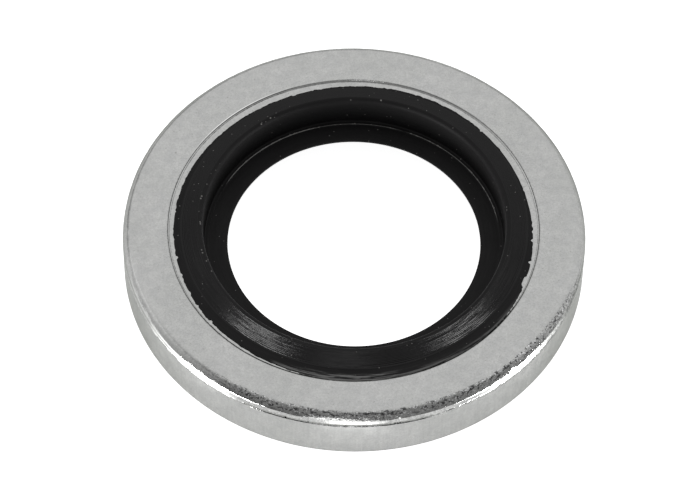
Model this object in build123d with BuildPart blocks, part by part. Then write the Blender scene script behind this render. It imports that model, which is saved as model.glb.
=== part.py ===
from build123d import *
import os
from math import cos, isclose, radians, tan

# Self-centring bonded sealing washer for a G 1/8 thread.
# A punched and plated steel ring has a rubber seal moulded and bonded to its inner edge: a
# sealing lip on each face, a film of flash over each coined land, and a thin centring web at
# mid-height. Millimetres. The origin is at the washer's centre, and +Z runs along its axis
# towards the face whose outer edge has the die roll of the punching.

os.makedirs("parts", exist_ok=True)

# Steel ring
ring_outer_diameter = 15.88
ring_thickness = 2.03
die_roll_radius = 0.38
die_roll_end_slope = 5.0  # degrees short of upright where the die roll meets the wall
lower_edge_chamfer = 0.06

# Coined land round the hole on each face, struck a little off centre
land_width = 0.50  # outwards from the hole
land_depth = 0.05
land_wall_slope = 45.0  # degrees
land_centre = (-0.02, -0.07)
lower_face_turn = 140.0  # degrees that the lower face's pattern is turned from the upper one's

# Sealing lips
lip_inner_diameter = 10.37
lip_wall_taper = 0.025  # narrowing of the lip's inner wall on each side, from its crest to the web
seal_width = 0.665  # rubber between the lip's inner wall and the ring's hole
lip_flank_slope = 25.0  # degrees
lip_crest_blend = 0.28  # how far the rounding of the crest runs down the wall and the flank
lip_overlap = 0.10  # reach of the lip's foot over the land

# Flash film on each land
film_thickness = 0.03
film_gap = 0.167  # mean width of bare land between the film and the land's wall
film_waves = (  # the wander of the film's edge: waves a turn, height, angle of a crest
    (1, 0.130, -87.0),
    (2, 0.039, -170.0),
    (3, 0.024, -155.0),
    (4, 0.020, -94.0),
)
film_points = 16
nick_depth = 0.08
nick_widths = {  # nicks in the film's edge by their angle
    -20: 0.45,
    -12: 0.12,
    -4: 0.14,
    44: 0.08,
    193: 0.12,
    220: 0.10,
}

# Centring web
web_bore_diameter = 8.70
web_edge_thickness = 0.10
web_root_thickness = 0.24
root_ledge_width = 0.14
root_ledge_height = 0.02
root_chamfer = 0.04

ring_outer_radius = ring_outer_diameter / 2
lip_inner_radius = lip_inner_diameter / 2
ring_hole_radius = lip_inner_radius + seal_width
face_z = ring_thickness / 2
land_z = face_z - land_depth
land_radius = ring_hole_radius + land_width
film_z = land_z + film_thickness
foot_radius = ring_hole_radius + lip_overlap
web_bore_radius = web_bore_diameter / 2
web_root_radius = lip_inner_radius - lip_wall_taper

# Floors of the two coined lands, each plane facing outwards from its land's centre
upper_land = Location((*land_centre, land_z))
lower_land = Rotation(180, 0, lower_face_turn) * upper_land
land_planes = [Plane(upper_land), Plane(lower_land)]


def film_radius(degrees):
    """Reach of the film from the land's centre at an angle round the washer."""
    radius = land_radius - film_gap
    for waves, height, crest in film_waves:
        radius += height * cos(radians(waves * degrees - crest))
    return radius


def film_outline():
    """Points round the film's edge, for one closed spline."""
    turns = [360 * step / film_points for step in range(film_points)]
    return [Vector(film_radius(turn), 0).rotate(Axis.Z, turn) for turn in turns]


# Steel ring: punched disc with its die roll, turned from one section, then the coined lands
with BuildPart() as steel_ring:
    with BuildSketch(Plane.XZ) as ring_section:
        with BuildLine():
            # The die roll stops short of upright, which leaves the fine crease between it and
            # the sheared wall.
            roll_width = die_roll_radius * cos(radians(die_roll_end_slope))
            roll_centre = (ring_outer_radius - roll_width, face_z - die_roll_radius)
            roll = CenterArc(
                roll_centre,
                die_roll_radius,
                start_angle=die_roll_end_slope,
                arc_size=90 - die_roll_end_slope,
            )
            upper_face = Line(roll @ 1, (ring_hole_radius, face_z))
            hole_wall = Line(upper_face @ 1, (ring_hole_radius, -face_z))
            lower_face = Line(hole_wall @ 1, (ring_outer_radius, -face_z))
            Line(lower_face @ 1, roll @ 0)
        make_face()
        lower_corner = ring_section.vertices().group_by(Axis.X)[-1].sort_by(Axis.Y)[0]
        chamfer(lower_corner, length=lower_edge_chamfer)
    revolve(axis=Axis.Z)
    with BuildSketch(*land_planes):
        Circle(land_radius)
    extrude(amount=land_depth, taper=-land_wall_slope, mode=Mode.SUBTRACT)

# Rubber seal: lips and web from one section, then the flash films
with BuildPart() as rubber_seal:
    with BuildSketch(Plane.XZ) as seal_section:
        with BuildLine():
            edge_z = web_edge_thickness / 2
            ledge_z = web_root_thickness / 2
            ledge_radius = web_root_radius - root_ledge_width
            # The inner wall and the flank would meet at a sharp corner: the crest rounds it.
            flank_rise = (foot_radius - lip_inner_radius) * tan(radians(lip_flank_slope))
            lip_corner = Vector(lip_inner_radius, film_z + flank_rise)
            crest_start = lip_corner - Vector(0, lip_crest_blend)
            crest_end = lip_corner + Vector(lip_crest_blend, 0).rotate(Axis.Z, -lip_flank_slope)
            Line((web_bore_radius, -edge_z), (web_bore_radius, edge_z))
            web_face = Line((web_bore_radius, edge_z), (ledge_radius, ledge_z - root_ledge_height))
            ledge_step = Line(web_face @ 1, (ledge_radius, ledge_z))
            ledge = Line(ledge_step @ 1, (web_root_radius, ledge_z))
            inner_wall = Line(ledge @ 1, crest_start)
            crest = TangentArc(crest_start, crest_end, tangent=(0, 1))
            flank = Line(crest_end, (foot_radius, film_z))
            foot = Line(flank @ 1, (foot_radius, land_z))
            seat = Line(foot @ 1, (ring_hole_radius, land_z))
            mirror([web_face, ledge_step, ledge, inner_wall, crest, flank, foot, seat], about=Plane.XZ)
            Line(seat @ 1, (ring_hole_radius, -land_z))
        make_face()
        corners = seal_section.vertices()
        root_corners = corners.filter_by(lambda corner: isclose(corner.X, web_root_radius))
        chamfer(root_corners, length=root_chamfer)
    revolve(axis=Axis.Z)
    with BuildSketch(*land_planes):
        with BuildLine():
            Spline(*film_outline(), periodic=True)
        make_face()
        for angle, width in nick_widths.items():
            with PolarLocations(film_radius(angle), 1, start_angle=angle):
                Rectangle(2 * nick_depth, width, mode=Mode.SUBTRACT)
        Circle(land_radius, mode=Mode.INTERSECT)  # the flash stops at the land's wall
        Circle((lip_inner_radius + foot_radius) / 2, mode=Mode.SUBTRACT)
    extrude(amount=film_thickness)

steel_ring.part.label = "steel_ring"
rubber_seal.part.label = "rubber_seal"
export_step(steel_ring.part, "parts/steel_ring.step")
export_step(rubber_seal.part, "parts/rubber_seal.step")
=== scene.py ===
import math

import bpy
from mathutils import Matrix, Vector, noise


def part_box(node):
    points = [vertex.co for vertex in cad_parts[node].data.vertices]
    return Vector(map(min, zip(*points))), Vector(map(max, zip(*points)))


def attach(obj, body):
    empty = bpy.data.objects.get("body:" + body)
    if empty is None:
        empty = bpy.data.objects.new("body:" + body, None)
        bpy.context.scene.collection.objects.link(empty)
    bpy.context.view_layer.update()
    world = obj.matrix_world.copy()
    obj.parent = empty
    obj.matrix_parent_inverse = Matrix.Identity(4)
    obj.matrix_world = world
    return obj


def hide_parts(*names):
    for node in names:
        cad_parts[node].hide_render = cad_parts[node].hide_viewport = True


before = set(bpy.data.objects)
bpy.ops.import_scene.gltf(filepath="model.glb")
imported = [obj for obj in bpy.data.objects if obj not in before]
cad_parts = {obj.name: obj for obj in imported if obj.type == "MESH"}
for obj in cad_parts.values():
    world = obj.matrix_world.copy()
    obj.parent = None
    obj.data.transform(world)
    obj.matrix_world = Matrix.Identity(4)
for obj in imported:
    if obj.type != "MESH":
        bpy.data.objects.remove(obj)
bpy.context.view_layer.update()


# ---------------------------------------------------------------------------------------------
# Steel ring: a disc punched from strip and zinc plated. The punch leaves a die roll, a fine
# crease and a sheared wall on its rim, and a shallow land is coined round the hole on each face.

mm = 0.001  # sizes are in millimetres, and angles round the washer in degrees
round_count = 630  # points round each turned ring
weld_gap = 1e-7  # metres
ring_radius = 7.935
half_thickness = 1.015
hole_radius = 5.85
land_radius = 6.35
land_depth = 0.05
land_floor = half_thickness - land_depth
land_centre = (-0.02, -0.07)
lower_land_turn = math.radians(140.0)


def grow_ring(name, start, stations):
    """Grow one skin from a circle: each station is (radius, height, centre x, centre y), and the
    last one comes back to the first circle, where the skin is welded shut."""
    radius, height, centre_x, centre_y = start
    bpy.ops.object.select_all(action="DESELECT")
    bpy.ops.mesh.primitive_circle_add(
        vertices=round_count,
        radius=radius * mm,
        location=(centre_x * mm, centre_y * mm, height * mm),
    )
    ring = bpy.context.active_object
    ring.name = ring.data.name = name
    bpy.ops.object.transform_apply(location=True, rotation=True, scale=True)
    bpy.ops.object.mode_set(mode="EDIT")
    bpy.ops.mesh.select_mode(type="EDGE")
    bpy.ops.mesh.select_all(action="SELECT")
    for next_radius, next_height, next_x, next_y in stations:
        step = ((next_x - centre_x) * mm, (next_y - centre_y) * mm, (next_height - height) * mm)
        bpy.ops.mesh.extrude_edges_move(TRANSFORM_OT_translate={"value": step})
        scale = next_radius / radius
        bpy.ops.transform.resize(value=(scale, scale, 1.0))
        radius, height, centre_x, centre_y = next_radius, next_height, next_x, next_y
    bpy.ops.mesh.select_all(action="SELECT")
    bpy.ops.mesh.remove_doubles(threshold=weld_gap)
    bpy.ops.mesh.normals_make_consistent(inside=False)
    bpy.ops.object.mode_set(mode="OBJECT")
    bpy.ops.object.shade_smooth()
    return ring


def on_axis(rows):
    """Stations centred on the washer's axis, from rows of (radius, height)."""
    return [(radius, height, 0.0, 0.0) for radius, height in rows]


def turned(point, turn):
    """A point (x, y) turned over with the lower face: mirrored across and turned round the axis."""
    x, y = point[0], -point[1]
    return (x * math.cos(turn) - y * math.sin(turn), x * math.sin(turn) + y * math.cos(turn))


lower_land_centre = turned(land_centre, lower_land_turn)
land_wall = (  # (distance outside the land's radius, height over its floor), steepest at its top
    (-0.062, 0.0),
    (-0.048, -0.002),
    (-0.040, 0.001),
    (-0.028, 0.007),
    (-0.014, 0.014),
    (-0.004, 0.021),
    (0.004, 0.031),
    (0.011, 0.042),
    (0.016, 0.0475),
    (0.031, 0.05),
    (0.052, 0.05),
)
roll_slopes = (  # (distance in from the rim, slope in degrees) down the die roll
    (0.475, 0.0),
    (0.385, 4.0),
    (0.320, 9.0),
    (0.275, 15.0),
    (0.235, 24.0),
    (0.190, 38.0),
    (0.140, 47.0),
    (0.064, 52.5),
    (0.045, 56.0),
    (0.036, 67.0),
    (0.026, 75.0),
    (0.000, 81.0),
)
longest_part = 0.018  # between two rows of points on the die roll
die_roll = [(ring_radius - roll_slopes[0][0], half_thickness)]
for (reach, slope), (next_reach, next_slope) in zip(roll_slopes, roll_slopes[1:]):
    parts = max(2, math.ceil((reach - next_reach) / longest_part))
    for part in range(parts):
        middle = math.radians(slope + (next_slope - slope) * (part + 0.5) / parts)
        width = (reach - next_reach) / parts
        radius, height = die_roll[-1]
        die_roll.append((radius + width, height - width * math.tan(middle)))
roll_bend = die_roll[-5][1]  # the height where the die roll turns steeply down
crease_level = die_roll[-1][1]
crease = (  # (distance in from the rim, depth under the die roll's end)
    (0.014, 0.005),
    (0.022, 0.018),
    (0.020, 0.034),
    (0.008, 0.046),
    (0.000, 0.056),
    (0.000, 0.064),
)
wall_heights = (0.32, 0.10, -0.12, -0.35, -0.60, -0.80, -0.93)
lower_edge = ((7.933, -0.955), (7.923, -0.980), (7.903, -1.000), (7.875, -1.012), (7.845, -1.015))
face_radii = (6.62, 6.90, 7.20)
land_row = hole_radius + 0.2

upper_face = on_axis([(land_row, land_floor)])
upper_face += [(land_radius + out, land_floor + up, *land_centre) for out, up in land_wall]
upper_face += on_axis((radius, half_thickness) for radius in (*face_radii, 7.36))
rim = on_axis(die_roll)
rim += on_axis((ring_radius - inside, crease_level - below) for inside, below in crease)
rim += on_axis((ring_radius, height) for height in wall_heights)
rim += on_axis(lower_edge)
lower_face = on_axis((radius, -half_thickness) for radius in (7.55, *reversed(face_radii)))
lower_face += [
    (land_radius + out, -land_floor - up, *lower_land_centre) for out, up in reversed(land_wall)
]
lower_face += on_axis([(land_row, -land_floor), (hole_radius, -land_floor)])
hole_wall = on_axis([(hole_radius, 0.0), (hole_radius, land_floor)])
plated_ring = grow_ring("plated_ring", hole_wall[-1], upper_face + rim + lower_face + hole_wall)


def angle_of(x, y):
    return math.degrees(math.atan2(y, x))


def window(angle, start, end, fade):
    """1 between two angles, and falling to 0 over a fade inside them."""
    inside = (angle - start) % 360.0
    return max(0.0, min(1.0, inside / fade, ((end - start) % 360.0 - inside) / fade))


def ramp(value, start, width):
    """0 up to a start, and 1 from a width beyond it."""
    return max(0.0, min(1.0, (value - start) / width))


def outside_land(x, y, centre):
    """How far a place lies outside a land's radius."""
    return math.hypot(x - centre[0], y - centre[1]) - land_radius


def sharp_stretch(angle):
    """How sharp the crease is at an angle round the rim: it dies out away from one stretch."""
    return window(angle, 242.0, 292.0, 5.0)


def deeper_roll(angle):
    """How far the die roll's end lies below crease_level, at an angle round the rim."""
    return 0.03 + 0.05 * window(angle, 60.0, 252.0, 26.0) - 0.015 * window(angle, 292.0, 50.0, 14.0)


# Three shares are painted on the points. Painted shade lies in the crease, along the lower edge
# and on the land walls, and the die roll's steep right end is painted darker. The punch dragged
# the metal of the die roll's front. One stretch of the upper land's edge has a painted highlight.
on_row = 0.0008  # a point this near to a row's distance belongs to it
wall_shade = {-0.048: 0.65, -0.040: 0.40, 0.016: 0.45, 0.031: 0.25}  # by distances in land_wall
lower_edge_shade = 0.40
roll_end_darkening = 0.50
drag_start = 7.60
drag_drift = 0.0085  # outward with each degree past drag_turn
drag_turn = 322.0
shade_and_grime = plated_ring.data.attributes.new("shade_and_grime", "FLOAT", "POINT")
dragged = plated_ring.data.attributes.new("dragged", "FLOAT", "POINT")
painted_highlight = plated_ring.data.attributes.new("painted_highlight", "FLOAT", "POINT")
for vertex in plated_ring.data.vertices:
    x, y, z = vertex.co / mm
    radius, angle = math.hypot(x, y), angle_of(x, y)
    amount = 0.0
    # Painted shade along the lower edge and in the crease, and the die roll's steep right end
    # darker.
    if z < -0.94 and radius > 7.86:  # the lower edge
        amount = lower_edge_shade
    if z > 0.6 and radius > 7.84:  # the steep end of the die roll
        amount = roll_end_darkening * window(angle, 322.0, 354.0, 10.0)
    if crease_level - 0.06 < z < crease_level - 0.001 and radius > 7.8:
        amount = sharp_stretch(angle)
    # Painted shade at the foot and the top of each land wall.
    if abs(z) < half_thickness + 0.001:
        # Along the stretch with the painted highlight, the wall's top gets less painted shade, its
        # foot more.
        highlight_stretch = window(angle, 96.0, 160.0, 6.0) if z > 0.0 else 0.0
        for centre in (land_centre, lower_land_centre):
            out = outside_land(x, y, centre)
            for place, share in wall_shade.items():
                if abs(out - place) < on_row:
                    share *= 1.0 - highlight_stretch if place > 0.0 else 1.0 + 0.4 * highlight_stretch
                    amount = max(amount, share)
    shade_and_grime.data[vertex.index].value = amount
    start = drag_start + drag_drift * max(0.0, angle % 360.0 - drag_turn)
    dragged.data[vertex.index].value = ramp(radius, start, 0.04) * window(angle, 226.0, 352.0, 18.0)
    # A painted highlight on one stretch of the upper land's edge.
    if z > half_thickness - 0.01 and 0.009 < outside_land(x, y, land_centre) < 0.033:
        painted_highlight.data[vertex.index].value = window(angle, 110.0, 153.0, 14.0)

# The land's wall is sharpest at its top on one side of the upper face.
sharper_rows = ((0.011, 0.0012), (0.016, 0.0035))  # (distance in land_wall, shift inward)
for vertex in plated_ring.data.vertices:
    x, y, z = vertex.co / mm
    if half_thickness - 0.012 < z < half_thickness - 0.001:
        steeper = window(angle_of(x, y), 108.0, 154.0, 7.0)
        for place, inward in sharper_rows:
            if abs(outside_land(x, y, land_centre) - place) < on_row:
                vertex.co.x *= 1.0 - steeper * inward / land_radius
                vertex.co.y *= 1.0 - steeper * inward / land_radius

# The die roll runs further down the rim on both sides of the stretch with the sharp crease.
for vertex in plated_ring.data.vertices:
    x, y, z = vertex.co / mm
    if math.hypot(x, y) > 7.85 and crease_level - 0.07 < z < roll_bend:
        share = min(1.0, (roll_bend - z) / (roll_bend - crease_level))
        vertex.co.z -= deeper_roll(angle_of(x, y)) * share * mm

# The crease is blunt outside its sharp stretch. The punch drags fine ripples down the die roll,
# which push its surface in, and its edge is dented in places.
ripple_start, ripple_fade = 7.45, 0.25
push_out, push_up = 0.6, 0.8  # square to the middle of the die roll
dents = (  # (angle, distance from the axis, radius)
    (-78.7, 7.92, 0.14),
    (-91.0, 7.93, 0.05),
    (-100.4, 7.93, 0.05),
    (-105.8, 7.93, 0.06),
)
for vertex in plated_ring.data.vertices:
    x, y, z = vertex.co / mm
    radius, angle = math.hypot(x, y), angle_of(x, y)
    level = crease_level - deeper_roll(angle)
    if radius > 7.9 and level - 0.055 < z < level - 0.001:
        blunt = (ring_radius - radius) * (1.0 - sharp_stretch(angle)) / radius
        vertex.co.x *= 1.0 + blunt
        vertex.co.y *= 1.0 + blunt
        continue
    if radius < ripple_start or z < level - 0.05:
        continue
    outward = Vector((x / radius, y / radius, 0.0))
    along = (radius - z) * 2.2
    ripple = noise.noise(Vector((outward.x * 30.0, outward.y * 30.0, along)))
    fine = noise.noise(Vector((outward.x * 70.0, outward.y * 70.0, along * 3.0)))
    push = -0.005 - 0.004 * ripple - 0.004 * fine
    for dent_angle, place, size in dents:
        turn = math.radians(dent_angle)
        middle = Vector((place * math.cos(turn), place * math.sin(turn)))
        away = (Vector((x, y)) - middle).length / size
        push -= 0.25 * size * max(0.0, 1.0 - away * away) ** 2 * (0.6 + 0.8 * fine)
    push = min(push, 0.0) * ramp(radius, ripple_start, ripple_fade)
    vertex.co += (outward * push_out + Vector((0.0, 0.0, push_up))) * push * mm


def link(tree, source, target):
    tree.links.new(source, target)


def start_finish(name):
    """A new material with its shader, and the piece's own coordinates in millimetres."""
    finish = bpy.data.materials.new(name)
    finish.use_nodes = True
    tree = finish.node_tree
    shader = tree.nodes["Principled BSDF"]
    coordinates = tree.nodes.new("ShaderNodeTexCoord")
    to_mm = tree.nodes.new("ShaderNodeMapping")
    to_mm.inputs["Scale"].default_value = (1000.0, 1000.0, 1000.0)
    link(tree, coordinates.outputs["Object"], to_mm.inputs["Vector"])
    return finish, tree, shader, to_mm.outputs["Vector"]


def grain(tree, place, scale, detail=2.0, roughness=0.5):
    """Cloudy noise, with scale in patches a millimetre."""
    cloud = tree.nodes.new("ShaderNodeTexNoise")
    cloud.inputs["Scale"].default_value = scale
    cloud.inputs["Detail"].default_value = detail
    cloud.inputs["Roughness"].default_value = roughness
    link(tree, place, cloud.inputs["Vector"])
    return cloud.outputs["Fac"]


def painted(tree, name):
    """A share that is painted on the piece's points."""
    attribute = tree.nodes.new("ShaderNodeAttribute")
    attribute.attribute_name = name
    return attribute.outputs["Fac"]


def fit(tree, value, low, high, to_low=0.0, to_high=1.0, smooth=False):
    """Map a value's range on to another one, held at its ends."""
    mapping = tree.nodes.new("ShaderNodeMapRange")
    mapping.interpolation_type = "SMOOTHSTEP" if smooth else "LINEAR"
    mapping.inputs["From Min"].default_value = low
    mapping.inputs["From Max"].default_value = high
    mapping.inputs["To Min"].default_value = to_low
    mapping.inputs["To Max"].default_value = to_high
    link(tree, value, mapping.inputs["Value"])
    return mapping.outputs["Result"]


def sum_up(tree, operation, first, second=0.0):
    """One sum of two values, each an output or a number."""
    maths = tree.nodes.new("ShaderNodeMath")
    maths.operation = operation
    for socket, value in zip(maths.inputs, (first, second)):
        if isinstance(value, (int, float)):
            socket.default_value = value
        else:
            link(tree, value, socket)
    return maths.outputs[0]


def times(tree, first, second):
    return sum_up(tree, "MULTIPLY", first, second)


def blend_colours(tree, share, first, second):
    """A colour between two, each an output or a plain colour, by an output's share."""
    mix = tree.nodes.new("ShaderNodeMix")
    mix.data_type = "RGBA"
    link(tree, share, mix.inputs["Factor"])
    for socket, value in ((mix.inputs[6], first), (mix.inputs[7], second)):
        if isinstance(value, tuple):
            socket.default_value = (*value, 1.0)
        else:
            link(tree, value, socket)
    return mix.outputs[2]


def work_vector(tree, operation, vector, constant=(0.0, 0.0, 0.0)):
    """One operation on a vector, with a constant one where it takes two."""
    vectors = tree.nodes.new("ShaderNodeVectorMath")
    vectors.operation = operation
    vectors.inputs[1].default_value = constant
    link(tree, vector, vectors.inputs[0])
    return vectors.outputs["Value" if operation in ("LENGTH", "DOT_PRODUCT") else "Vector"]


def flattened(tree, place):
    """A place without its height."""
    return work_vector(tree, "MULTIPLY", place, (1.0, 1.0, 0.0))


def distance_from_axis(tree, place):
    return work_vector(tree, "LENGTH", flattened(tree, place))


def taken_apart(tree, vector):
    """The x, y and z of a vector."""
    parts = tree.nodes.new("ShaderNodeSeparateXYZ")
    link(tree, vector, parts.inputs["Vector"])
    return parts.outputs["X"], parts.outputs["Y"], parts.outputs["Z"]


def put_together(tree, *parts):
    """A vector from its x, y and z."""
    whole = tree.nodes.new("ShaderNodeCombineXYZ")
    for part, socket in zip(parts, whole.inputs):
        link(tree, part, socket)
    return whole.outputs["Vector"]


def raise_surface(tree, shader, *layers):
    """Bump layers, each (height, depth, strength), one on another."""
    normal = None
    for height, depth, strength in layers:
        bump = tree.nodes.new("ShaderNodeBump")
        bump.inputs["Distance"].default_value = depth * mm
        if isinstance(strength, float):
            bump.inputs["Strength"].default_value = strength
        else:
            link(tree, strength, bump.inputs["Strength"])
        link(tree, height, bump.inputs["Height"])
        if normal:
            link(tree, normal, bump.inputs["Normal"])
        normal = bump.outputs["Normal"]
    link(tree, normal, shader.inputs["Normal"])


dark_zinc = (0.528, 0.533, 0.521)
light_zinc = (0.572, 0.574, 0.566)
grazing_zinc = (0.48, 0.49, 0.47, 1.0)
mottle_grey = (0.38, 0.385, 0.39)
speck_grey = (0.26, 0.26, 0.25)
dusting_grey = (0.34, 0.34, 0.33)
# Painted shade in the crease, along the lower edge and on the land walls; the roll's end darker.
shade_and_grime_black = (0.04, 0.04, 0.04)
# A painted highlight on the upper land's edge.
painted_highlight_white = (0.97, 0.97, 0.96)
fleck_black = (0.04, 0.04, 0.042)
# Painted glints on the die roll's front.
glint_white = (0.97, 0.97, 0.98)
sheared_grey = (0.34, 0.34, 0.34)

zinc, tree, shader, place = start_finish("bright_zinc_plate")
shader.inputs["Metallic"].default_value = 1.0
shader.inputs["Specular Tint"].default_value = grazing_zinc

# Where the finishes lie: the die roll, the metal dragged on it, and the sheared wall under it.
radius_out = distance_from_axis(tree, place)
height = taken_apart(tree, place)[2]
on_rim = fit(tree, radius_out, 7.50, 7.66, smooth=True)
above_crease = fit(tree, height, crease_level - 0.14, crease_level - 0.08)
on_roll = times(tree, on_rim, above_crease)
on_wall = sum_up(tree, "SUBTRACT", on_rim, on_roll)
inner_roll = times(tree, on_roll, fit(tree, radius_out, 7.80, 7.87, 1.0, 0.3))
dragged_roll = times(tree, inner_roll, painted(tree, "dragged"))

# The grain of the plating, and marks that the punch drew down the rim, many more round it.
broad = grain(tree, place, 0.55, 3.0)
soft_grain = grain(tree, place, 2.4)
mottle = grain(tree, place, 3.2, 4.0, 0.6)
waves = grain(tree, place, 7.0)
patches = grain(tree, place, 9.0, 2.0, 0.6)
speckle = grain(tree, place, 11.0)
dusting = grain(tree, place, 15.0, 2.0, 0.7)
fine_grain = grain(tree, place, 18.0, 2.0, 0.6)
round_x, round_y, _ = taken_apart(tree, work_vector(tree, "NORMALIZE", flattened(tree, place)))
down = sum_up(tree, "SUBTRACT", radius_out, height)
drag_place = put_together(
    tree, times(tree, round_x, 52.0), times(tree, round_y, 52.0), times(tree, down, 9.0)
)
drag_marks = grain(tree, drag_place, 1.0, 3.0, 0.6)
shear_place = put_together(tree, times(tree, round_x, 95.0), times(tree, round_y, 95.0), height)
shear_marks = grain(tree, shear_place, 1.0, 3.0, 0.6)

# Painted shade, and the darker roll end, broken up in patches.
shaded_and_dirty = times(tree, painted(tree, "shade_and_grime"), fit(tree, patches, 0.38, 0.58, 1.35, 0.55))
flecks = times(tree, dragged_roll, fit(tree, drag_marks, 0.42, 0.50, 0.88, 0.0))
# Painted glints: fine spots of lighter colour on the dragged die roll.
glints = times(tree, dragged_roll, fit(tree, fine_grain, 0.57, 0.64, 0.0, 0.9))
sheared = times(tree, on_wall, fit(tree, shear_marks, 0.36, 0.60, 0.22, 0.0))
tone = blend_colours(tree, fit(tree, broad, 0.35, 0.65), dark_zinc, light_zinc)
for share, colour in (
    (fit(tree, mottle, 0.38, 0.62, 0.34, 0.0), mottle_grey),
    (fit(tree, speckle, 0.68, 0.74, 0.0, 0.55), speck_grey),
    (fit(tree, dusting, 0.35, 0.65, 0.40, 0.0), dusting_grey),
    # painted shade
    (shaded_and_dirty, shade_and_grime_black),
    # painted highlight
    (painted(tree, "painted_highlight"), painted_highlight_white),
    (flecks, fleck_black),
    # painted glints
    (glints, glint_white),
    (sheared, sheared_grey),
):
    tone = blend_colours(tree, share, tone, colour)
link(tree, tone, shader.inputs["Base Color"])
rough = fit(tree, mottle, 0.35, 0.65, 0.11, 0.16)
rough = times(tree, rough, fit(tree, on_roll, 0.0, 1.0, 1.0, 0.5))
rough = sum_up(tree, "ADD", rough, times(tree, on_wall, 0.20))
link(tree, rough, shader.inputs["Roughness"])
raise_surface(
    tree,
    shader,
    (soft_grain, 0.003, 1.0),
    (waves, 0.0025, 0.6),
    (fine_grain, 0.0030, fit(tree, on_roll, 0.0, 1.0, 0.8, 1.0)),
    (drag_marks, 0.0070, dragged_roll),
)
plated_ring.data.materials.append(zinc)
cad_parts["steel_ring"].data.materials.clear()
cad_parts["steel_ring"].data.materials.append(zinc)
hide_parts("steel_ring")
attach(plated_ring, "root")


# ---------------------------------------------------------------------------------------------
# Rubber seal: nitrile rubber moulded into the ring and bonded to its hole. A lip stands on each
# face, a skin of flash lies on each land, and a thin web inside centres the washer on its thread.

bore_radius = 4.35
half_bore_edge = 0.030
lip_inner_radius = 5.185
crest_radius = 0.178
crest_steps = 12
crest_turn = math.radians(98.0)
crest_drop = 0.0004
flank_slope = math.radians(25.0)
foot_radius = 5.95
film_level = land_floor + 0.03
film_gap = 0.167
film_waves = ((1, 0.130, -87.0), (2, 0.039, -170.0), (3, 0.024, -155.0), (4, 0.020, -94.0))
film_nicks = (  # (angle, width in degrees, depth) of nicks in the film's edge
    (-20.0, 4.2, 0.08),
    (-12.5, 1.2, 0.07),
    (-4.0, 1.3, 0.07),
    (-0.5, 0.8, 0.03),
    (44.0, 0.9, 0.06),
    (111.0, 0.9, 0.04),
    (175.0, 1.0, 0.04),
    (193.0, 1.2, 0.06),
    (200.0, 0.8, 0.04),
    (207.5, 0.8, 0.04),
    (213.0, 1.1, 0.05),
    (220.0, 1.3, 0.06),
)

lip_rise = (foot_radius - lip_inner_radius) * math.tan(flank_slope)
tangent = crest_radius * math.tan((math.pi / 2 + flank_slope) / 2)
crest_centre = (lip_inner_radius + crest_radius, film_level + lip_rise - tangent - crest_drop)
half_section = [  # (radius, height) along the web, its ledge and the lip's inner wall
    (4.352, 0.040),
    (4.360, 0.049),
    (4.375, 0.053),
    (4.50, 0.060),
    (4.68, 0.0715),
    (4.86, 0.0835),
    (4.98, 0.0915),
    (5.008, 0.0935),
    (5.016, 0.099),
    (5.018, 0.108),
    (5.022, 0.116),
    (5.032, 0.120),
    (5.07, 0.1205),
    (5.105, 0.122),
    (5.130, 0.128),
    (5.148, 0.141),
    (5.157, 0.160),
    (5.161, 0.190),
    (5.164, 0.35),
    (5.169, 0.55),
    (5.174, 0.75),
    (5.179, 0.92),
]
for step in range(crest_steps + 1):
    turn = math.pi - crest_turn * step / crest_steps
    across, up = crest_radius * math.cos(turn), crest_radius * math.sin(turn)
    half_section.append((crest_centre[0] + across, crest_centre[1] + up))

# The mould's flank was turned in fine steps, which print rings on the lip: short steep risers
# with long easy treads between them.
ring_widths = (  # from the crest to the foot
    0.030, 0.034, 0.030, 0.038, 0.034, 0.040, 0.036, 0.046, 0.042, 0.050, 0.046, 0.056, 0.048,
)
riser_share = 0.28
riser_fall = math.tan(math.radians(57.0))
crest_end = half_section[-1]
flank_end = (5.915, film_level + 0.014)
riser_drop = sum(ring_widths) * riser_share * riser_fall
tread_fall = (crest_end[1] - flank_end[1] - riser_drop) / (sum(ring_widths) * (1.0 - riser_share))
flank_scale = (flank_end[0] - crest_end[0]) / sum(ring_widths)
ring_rows = []
for ring_width in ring_widths:
    for share, fall in ((riser_share, riser_fall), (1.0 - riser_share, tread_fall)):
        radius, height = half_section[-1]
        width = ring_width * share
        half_section.append((radius + width * flank_scale, height - width * fall))
        ring_rows.append(half_section[-1])

foot_ridge = ((5.925, 0.0135), (5.937, 0.0145), (5.949, 0.0115), (5.958, 0.0050), (5.968, 0.001))
film_start = 5.968
film_mean = 6.18
half_section += [(radius, film_level + rise) for radius, rise in foot_ridge]
half_section += [
    (film_start + (film_mean - film_start) * share, film_level) for share in (0.3, 0.6, 0.8, 0.92)
]
half_section += [(film_mean - 0.008, film_level - 0.0015), (film_mean, film_level - 0.008)]
half_section += [(film_mean + 0.002, land_floor)]

lower_half = [(radius, -height) for radius, height in reversed(half_section)]
seat = [(hole_radius, land_floor), (hole_radius, 0.0), (hole_radius, -land_floor)]
bore = [(bore_radius, -half_bore_edge), (bore_radius, 0.0), (bore_radius, half_bore_edge)]
seal_stations = on_axis(half_section + seat + lower_half + bore)
moulded_seal = grow_ring("moulded_seal", seal_stations[-1], seal_stations)


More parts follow.
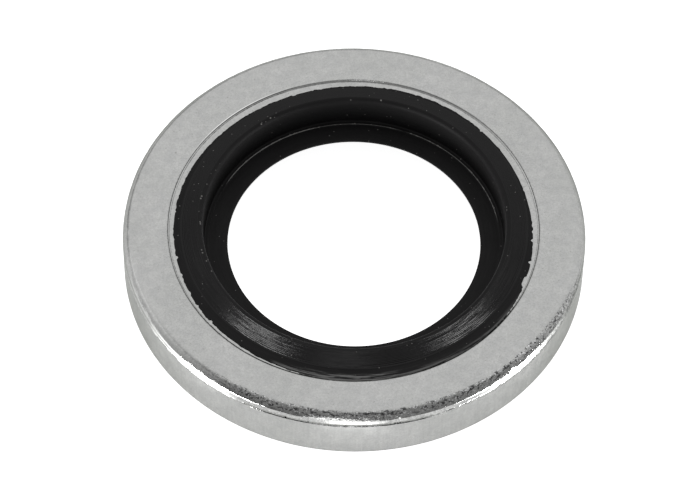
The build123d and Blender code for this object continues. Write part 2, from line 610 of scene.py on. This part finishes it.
def film_reach(angle, side):
    """Distance of the film's edge from the land's centre, at an angle round the land."""
    reach = land_radius - film_gap
    for waves, height, crest in film_waves:
        reach += height * math.cos(math.radians(waves * angle - crest))
    turn = math.radians(angle)
    x, y = math.cos(turn), math.sin(turn)
    reach += 0.014 * noise.noise(Vector((x * 22.0, y * 22.0, side)))
    reach += 0.016 * round(1.6 * noise.noise(Vector((x * 48.0, y * 48.0, side + 5.0))))
    reach -= 0.065 * window(angle, 216.0, 266.0, 15.0)
    for nick, width, depth in film_nicks:
        away = abs((angle - nick + 180.0) % 360.0 - 180.0) / (width / 2)
        reach -= depth * (1.0 - away ** 10) if away < 1.0 else 0.0
    return min(reach, land_radius - 0.006)


def edge_from_axis(turn, side):
    """Distance of the film's edge from the washer's axis, at a turn round it in radians."""
    if side > 0:
        centre, start, sense = land_centre, 0.0, 1.0
    else:
        centre, start, sense = lower_land_centre, lower_land_turn, -1.0
    reach = land_radius - film_gap
    for _ in range(3):  # each pass brings it nearer to the edge
        x = reach * math.cos(turn) - centre[0]
        y = reach * math.sin(turn) - centre[1]
        own_angle = math.degrees(sense * (math.atan2(y, x) - start))
        reach += film_reach(own_angle, side) - math.hypot(x, y)
    return reach


# The film's rows are stretched out to its wandering edge.
for vertex in moulded_seal.data.vertices:
    x, y, z = vertex.co / mm
    radius = math.hypot(x, y)
    if radius > film_start + 0.001:
        edge = edge_from_axis(math.atan2(y, x), math.copysign(1.0, z))
        share = (radius - film_start) / (film_mean - film_start)
        stretch = (film_start + (edge - film_start) * share) / radius
        vertex.co.x *= stretch
        vertex.co.y *= stretch

# The rings wander a little, so that their risers aren't equally steep all the way round.
same_row = 0.001
for vertex in moulded_seal.data.vertices:
    x, y, z = vertex.co / mm
    radius = math.hypot(x, y)
    for row, (row_radius, row_height) in enumerate(ring_rows):
        if abs(radius - row_radius) < same_row and abs(abs(z) - row_height) < same_row:
            wander = noise.noise(Vector((x * 0.9, y * 0.9, row * 3.7 + math.copysign(20.0, z))))
            stretch = 1.0 + 0.004 * wander / radius
            vertex.co.x *= stretch
            vertex.co.y *= stretch
bpy.ops.object.select_all(action="DESELECT")
moulded_seal.select_set(True)
bpy.context.view_layer.objects.active = moulded_seal
bpy.ops.object.shade_smooth_by_angle(angle=math.radians(42.0))

# The film is thinnest over a stretch of its outer edge, where the steel shows through. A painted
# highlight lies along the edge of the web's ledge in places, and fine dust clings along the crest
# in places.
ledge_highlight = ((6.0, 74.0, 0.55), (66.0, 112.0, 0.45), (100.0, 156.0, 0.75))  # start, end, share
crest_dust = 0.12
thin = moulded_seal.data.attributes.new("thin", "FLOAT", "POINT")
dust_and_ledge_highlight = moulded_seal.data.attributes.new("dust_and_ledge_highlight", "FLOAT", "POINT")
for vertex in moulded_seal.data.vertices:
    x, y, z = vertex.co / mm
    radius, angle = math.hypot(x, y), angle_of(x, y)
    thin.data[vertex.index].value = max(
        0.8 * ramp(radius, 6.20, 0.10) * window(angle, 255.0, 336.0, 12.0),
        2.0 * ramp(radius, 6.18, 0.06) * window(angle, 244.0, 288.0, 9.0),
    )
    amount = 0.0
    # A painted highlight along the ledge's edge, in stretches.
    if 5.017 < radius < 5.035 and 0.112 < z < 0.1203:  # the ledge's edge
        amount = max(share * window(angle, start, end, 9.0) for start, end, share in ledge_highlight)
    if 5.20 < radius < 5.37 and z > 1.2:  # the crest
        stretches = (window(angle, 112.0, 214.0, 14.0), window(angle, 66.0, 104.0, 8.0))
        amount = crest_dust * max(stretches)
    dust_and_ledge_highlight.data[vertex.index].value = amount

black_rubber = (0.0016, 0.0013, 0.0016)
grey_rubber = (0.0030, 0.0026, 0.0029)
dust_and_highlight_grey = (0.16, 0.155, 0.15)
# The painted highlight along the ledge's edge.
ledge_highlight_grey = (0.30, 0.297, 0.29)
steel_under_film = (0.15, 0.15, 0.148)

rubber, tree, shader, place = start_finish("black_nitrile_rubber")
shader.inputs["IOR"].default_value = 1.45
shader.inputs["Specular IOR Level"].default_value = 0.27
radius_out = distance_from_axis(tree, place)
cloud = grain(tree, place, 1.4, 3.0)
pores = grain(tree, place, 12.0, 3.0, 0.6)

# Dust is small grains in a few cells of a pattern, and larger ones in more cells along the crest.
# On the ledge's edge grains fill most cells and a grey line lies over them: a painted highlight.
dust_and_highlight = painted(tree, "dust_and_ledge_highlight")
dust_cells = tree.nodes.new("ShaderNodeTexVoronoi")
dust_cells.inputs["Scale"].default_value = 6.5
link(tree, place, dust_cells.inputs["Vector"])
cell_colour = tree.nodes.new("ShaderNodeSeparateColor")
link(tree, dust_cells.outputs["Color"], cell_colour.inputs["Color"])
from_grain = sum_up(tree, "SUBTRACT", dust_cells.outputs["Distance"], times(tree, dust_and_highlight, 0.6))
picked = sum_up(tree, "ADD", cell_colour.outputs["Red"], times(tree, dust_and_highlight, 4.0))
dust_and_highlight_grains = times(tree, fit(tree, from_grain, 0.09, 0.16, 1.0, 0.0), fit(tree, picked, 0.86, 0.87))

# Streaks run round the lip, close together down its flank.
x_here, y_here, z_here = taken_apart(tree, place)
down = sum_up(tree, "SUBTRACT", radius_out, sum_up(tree, "ABSOLUTE", z_here))
streak_place = put_together(
    tree, times(tree, x_here, 0.9), times(tree, y_here, 0.9), times(tree, down, 16.0)
)
streaks = grain(tree, streak_place, 1.0, 3.0, 0.6)
showing = times(tree, painted(tree, "thin"), fit(tree, streaks, 0.44, 0.56, 0.0, 0.9))

tone = blend_colours(tree, fit(tree, cloud, 0.35, 0.65), black_rubber, grey_rubber)
for share, colour in (
    (dust_and_highlight_grains, dust_and_highlight_grey),
    # the painted highlight along the ledge's edge
    (fit(tree, dust_and_highlight, 0.2, 0.9), ledge_highlight_grey),
    (showing, steel_under_film),
):
    tone = blend_colours(tree, share, tone, colour)
link(tree, tone, shader.inputs["Base Color"])
inside_foot = fit(tree, radius_out, 5.92, 5.97, 1.0, 0.0, smooth=True)
on_flank = times(tree, fit(tree, radius_out, 5.34, 5.38, smooth=True), inside_foot)
rough = tree.nodes.new("ShaderNodeMix")
link(tree, on_flank, rough.inputs["Factor"])
link(tree, fit(tree, streaks, 0.3, 0.7, 0.54, 0.64), rough.inputs["A"])
link(tree, fit(tree, streaks, 0.3, 0.7, 0.20, 0.28), rough.inputs["B"])
link(tree, rough.outputs["Result"], shader.inputs["Roughness"])
raise_surface(tree, shader, (streaks, 0.004, 1.0), (pores, 0.004, 0.8))
moulded_seal.data.materials.append(rubber)
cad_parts["rubber_seal"].data.materials.clear()
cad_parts["rubber_seal"].data.materials.append(rubber)
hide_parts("rubber_seal")
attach(moulded_seal, "root")


# ---------------------------------------------------------------------------------------------
# Studio: a white table under the washer, soft boxes low on both sides, a card in front, and a
# pale tent that is open over the camera.

floor_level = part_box("rubber_seal")[0].z
table_size = 1.2
bpy.ops.object.select_all(action="DESELECT")
bpy.ops.mesh.primitive_plane_add(size=table_size, location=(0.0, 0.0, floor_level))
table = bpy.context.active_object
table.name = table.data.name = "table"
bpy.ops.object.transform_apply(location=True, rotation=True, scale=True)


def patch_towards(tree, bearing, azimuth, half_width, inner, outer, most=1.0):
    """A share that is most towards an azimuth, and fades out between two parts of a half width."""
    edge = math.radians(half_width)
    away = sum_up(tree, "SUBTRACT", bearing, math.radians(azimuth))
    away = sum_up(tree, "ABSOLUTE", away)
    return fit(tree, away, edge * inner, edge * outer, most, 0.0, smooth=True)


# The table glows white to the camera. In reflections it has a plain level, with lit and dim
# patches in some directions, which start clear of the washer.
table_white = (0.85, 0.85, 0.85, 1.0)
camera_level = 0.93
plain_level = 0.62
lit_level = 2.0
lit_patches = ((-33.0, 16.0), (-142.0, 15.0), (-89.0, 8.0))  # (azimuth, half width)
dim_patches = ((145.0, 35.0, 0.30), (40.0, 30.0, 0.35))  # (azimuth, half width, depth)

white = bpy.data.materials.new("white_table")
white.use_nodes = True
tree = white.node_tree
shader = tree.nodes["Principled BSDF"]
shader.inputs["Base Color"].default_value = table_white
shader.inputs["Roughness"].default_value = 0.25
rays = tree.nodes.new("ShaderNodeLightPath").outputs
mirrored = sum_up(tree, "MAXIMUM", rays["Is Glossy Ray"], rays["Is Transmission Ray"])
place = tree.nodes.new("ShaderNodeTexCoord").outputs["Object"]
x_here, y_here, _ = taken_apart(tree, place)
bearing = sum_up(tree, "ARCTAN2", y_here, x_here)
clear = fit(tree, distance_from_axis(tree, place), 9.3 * mm, 9.9 * mm, smooth=True)
lit = 0.0
for azimuth, half_width in lit_patches:
    patch = patch_towards(tree, bearing, azimuth, half_width, 0.6, 1.35)
    lit = sum_up(tree, "MAXIMUM", lit, patch)
plain = plain_level
for azimuth, half_width, depth in dim_patches:
    dim = patch_towards(tree, bearing, azimuth, half_width, 0.8, 1.2, depth)
    plain = sum_up(tree, "SUBTRACT", plain, times(tree, dim, clear))
shine = sum_up(tree, "ADD", plain, times(tree, times(tree, lit, clear), lit_level))
shine = times(tree, mirrored, shine)
shine = sum_up(tree, "MAXIMUM", shine, times(tree, rays["Is Camera Ray"], camera_level))
glow = tree.nodes.new("ShaderNodeEmission")
link(tree, shine, glow.inputs["Strength"])
both = tree.nodes.new("ShaderNodeAddShader")
link(tree, shader.outputs["BSDF"], both.inputs[0])
link(tree, glow.outputs["Emission"], both.inputs[1])
link(tree, both.outputs["Shader"], tree.nodes["Material Output"].inputs["Surface"])
table.data.materials.append(white)

# The tent is pale behind the washer and dim in front of it and low down, and it is brighter
# again on the left.
tent_white = (1.0, 1.0, 1.0, 1.0)
leftward = (-0.98, 0.0, 0.20)

world = bpy.data.worlds.new("studio")
bpy.context.scene.world = world
world.use_nodes = True
tree = world.node_tree
sky = tree.nodes["Background"]
sky.inputs["Color"].default_value = tent_white
direction = tree.nodes.new("ShaderNodeTexCoord").outputs["Generated"]
to_right, to_back, upward = taken_apart(tree, direction)
tent = fit(tree, to_back, -0.42, 0.45, 0.32, 0.93, smooth=True)
raised = sum_up(tree, "ADD", upward, sum_up(tree, "MAXIMUM", times(tree, to_right, 0.5), 0.0))
level = times(tree, tent, fit(tree, raised, 0.05, 0.55, 0.45, 1.0, smooth=True))
to_left = work_vector(tree, "DOT_PRODUCT", direction, leftward)
level = sum_up(tree, "ADD", level, fit(tree, to_left, 0.80, 0.97, 0.0, 0.40))
rays = tree.nodes.new("ShaderNodeLightPath").outputs
level = sum_up(tree, "MAXIMUM", level, rays["Is Camera Ray"])
link(tree, level, sky.inputs["Strength"])

box_distance = 2.0  # metres, as are the widths and heights
soft_boxes = (  # (name, azimuth, elevation, tilt, width, height, brightness)
    ("right_soft_box", -29.5, 1.2, 5.0, 1.46, 0.18, 30.0),
    ("left_soft_box", -142.5, 2.6, 0.0, 1.30, 0.22, 28.0),
    ("front_card", -94.0, 12.2, 0.0, 1.00, 0.60, 1.6),
)
for name, azimuth, elevation, tilt, width, height, brightness in soft_boxes:
    azimuth, elevation = math.radians(azimuth), math.radians(elevation)
    x_share = math.cos(elevation) * math.cos(azimuth)
    y_share = math.cos(elevation) * math.sin(azimuth)
    place_at = Vector((x_share, y_share, math.sin(elevation))) * box_distance
    bpy.ops.object.light_add(type="AREA", location=place_at)
    lamp = bpy.context.active_object
    lamp.name = name
    lamp.rotation_euler = place_at.to_track_quat("Z", "Y").to_euler()
    lamp.rotation_euler.rotate_axis("Z", math.radians(tilt))
    lamp.data.shape = "ELLIPSE"
    lamp.data.size = width
    lamp.data.size_y = height
    lamp.data.energy = brightness * math.pi * width * height
    lamp.visible_camera = False


# ---------------------------------------------------------------------------------------------
# Camera: a long lens, looking down at the washer's face at 54 degrees.

camera_distance = 134.98
camera_height = math.radians(54.07)
camera_roll = math.radians(0.958)
lens_length = 202.89
sensor_width = 36.0
aim = Vector((-0.13, -1.06, half_thickness)) * mm
back = camera_distance * math.cos(camera_height)
up = camera_distance * math.sin(camera_height)
eye = Vector((0.0, -back * mm, (half_thickness + up) * mm))

bpy.ops.object.camera_add(location=eye)
camera = bpy.context.active_object
camera.rotation_euler = (aim - eye).to_track_quat("-Z", "Y").to_euler()
camera.rotation_euler.rotate_axis("Z", camera_roll)
camera.data.sensor_width = sensor_width
camera.data.lens = lens_length
camera.data.clip_start = 0.01
camera.data.clip_end = 10.0
bpy.context.scene.camera = camera
bpy.context.scene.view_settings.view_transform = "Standard"
